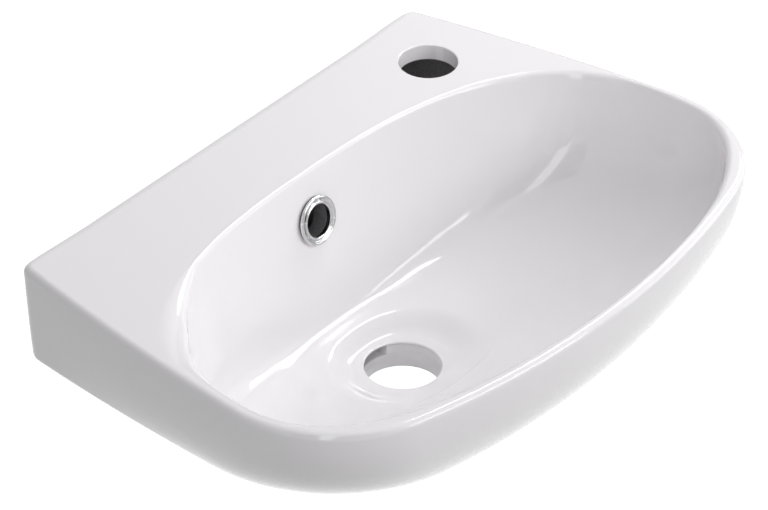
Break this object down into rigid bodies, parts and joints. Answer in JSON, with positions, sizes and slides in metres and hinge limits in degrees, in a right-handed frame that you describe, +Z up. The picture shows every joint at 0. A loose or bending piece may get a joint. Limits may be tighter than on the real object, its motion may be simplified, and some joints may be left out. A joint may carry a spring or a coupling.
{
  "type": "wall-hung washbasin",
  "caption": "Small wall-hung washbasin with a deep oval bowl, a flat rear shelf with a tap hole to one side, a ringed overflow and an open waste hole.",
  "frame": {"origin": "on the wall plane, midway between the two fixing holes, 38 mm below the rear shelf", "axes": "+Z up, +Y into the wall, so the front faces -Y, and +X to the user's right"},
  "size_m": [0.4042, 0.288, 0.1212],
  "materials": {
    "white_glaze": "gloss glaze on vitreous china",
    "chrome_plate": "polished chrome plate",
    "seal_rubber": "smooth black rubber",
    "sleeve_rubber": "matt dark rubber"
  },
  "bodies": {
    "basin": {"basin_body": "white_glaze"},
    "overflow_insert": {"overflow_trim_ring": "chrome_plate", "overflow_seal": "seal_rubber", "overflow_grip_sleeve": "sleeve_rubber"}
  },
  "joints": [
    {"name": "overflow_insert_pull", "type": "slide", "parent": "basin", "child": "overflow_insert", "axis": [0, -0.9781, 0.2079], "range_m": [0, 0.02]}
  ]
}
